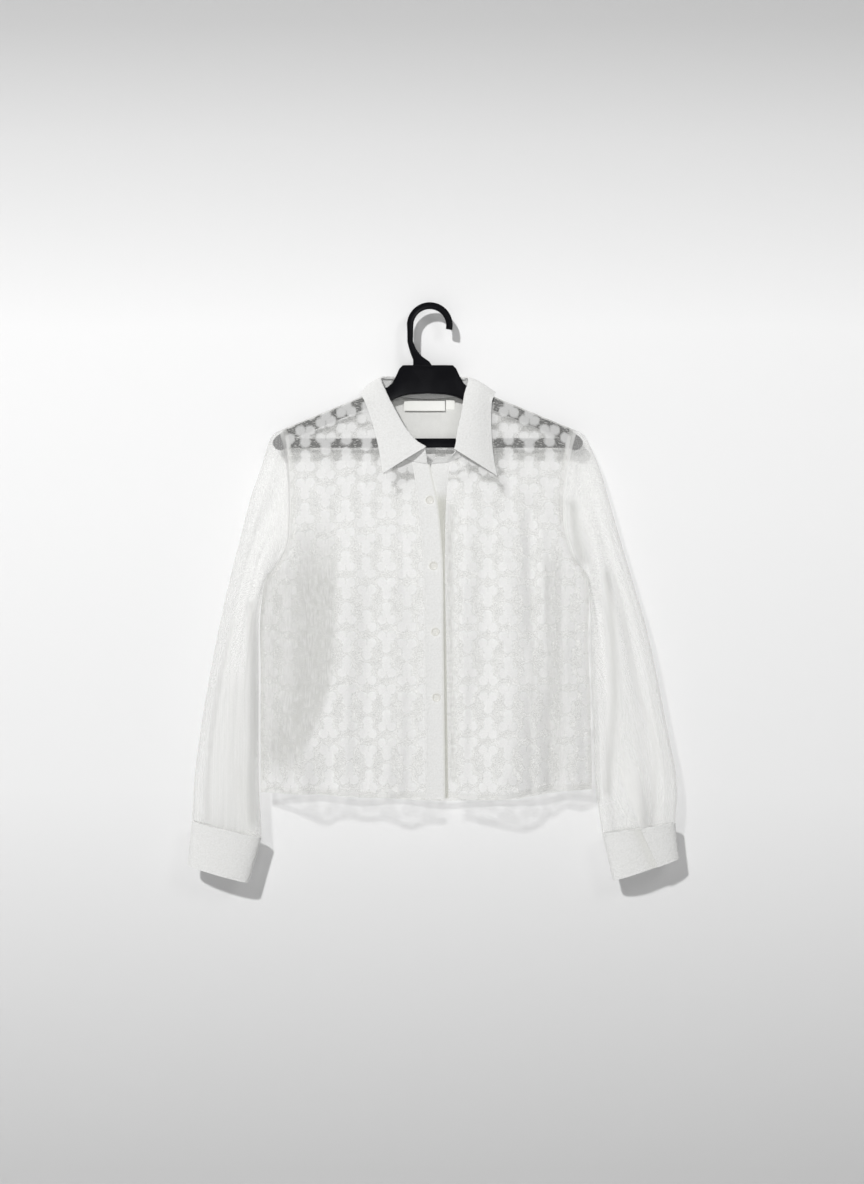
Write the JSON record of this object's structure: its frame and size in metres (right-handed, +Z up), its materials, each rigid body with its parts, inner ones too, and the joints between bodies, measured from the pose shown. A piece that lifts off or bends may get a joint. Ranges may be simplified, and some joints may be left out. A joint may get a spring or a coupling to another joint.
{
  "type": "sheer shirt on a clothes hanger",
  "caption": "Sheer cropped long-sleeved shirt with a large pointed collar, buttoned on a flat black moulded hanger with a fixed hook",
  "frame": {"origin": "highest point inside the hanger's hook, where a rail or nail carries it", "axes": "+Z up, +X to the viewer's right (the wearer's left), the shirt's front faces -Y"},
  "size_m": [0.6627, 0.0514, 0.7829],
  "materials": {
    "sheer_body": "sheer organza with small opaque cut-thread blossoms",
    "sheer_sleeve": "sheer crinkled organza",
    "crepe_trim": "opaque doubled crepe",
    "button_resin": "pearly resin",
    "label_tape": "woven tape, blank",
    "hanger_black": "satin moulded black"
  },
  "bodies": {
    "root": {"front_right": "sheer_body", "front_left": "sheer_body", "back": "sheer_body", "sleeve_right_back_outer": "sheer_sleeve", "sleeve_right_front": "sheer_sleeve", "sleeve_right_back_inner": "sheer_sleeve", "sleeve_left_front_outer": "sheer_sleeve", "sleeve_left_back": "sheer_sleeve", "sleeve_left_front_inner": "sheer_sleeve", "cuff_right": "crepe_trim", "cuff_left": "crepe_trim", "collar_fall": "crepe_trim", "collar_stand": "crepe_trim", "placket_buttonholes": "crepe_trim", "placket_under": "crepe_trim", "button_1": "button_resin", "button_2": "button_resin", "button_3": "button_resin", "button_4": "button_resin", "neck_label": "label_tape", "size_tab": "label_tape", "hanger_hook": "hanger_black", "hanger_plate": "hanger_black", "hanger_arm_right": "hanger_black", "hanger_arm_left": "hanger_black", "hanger_bar": "hanger_black"}
  },
  "joints": []
}
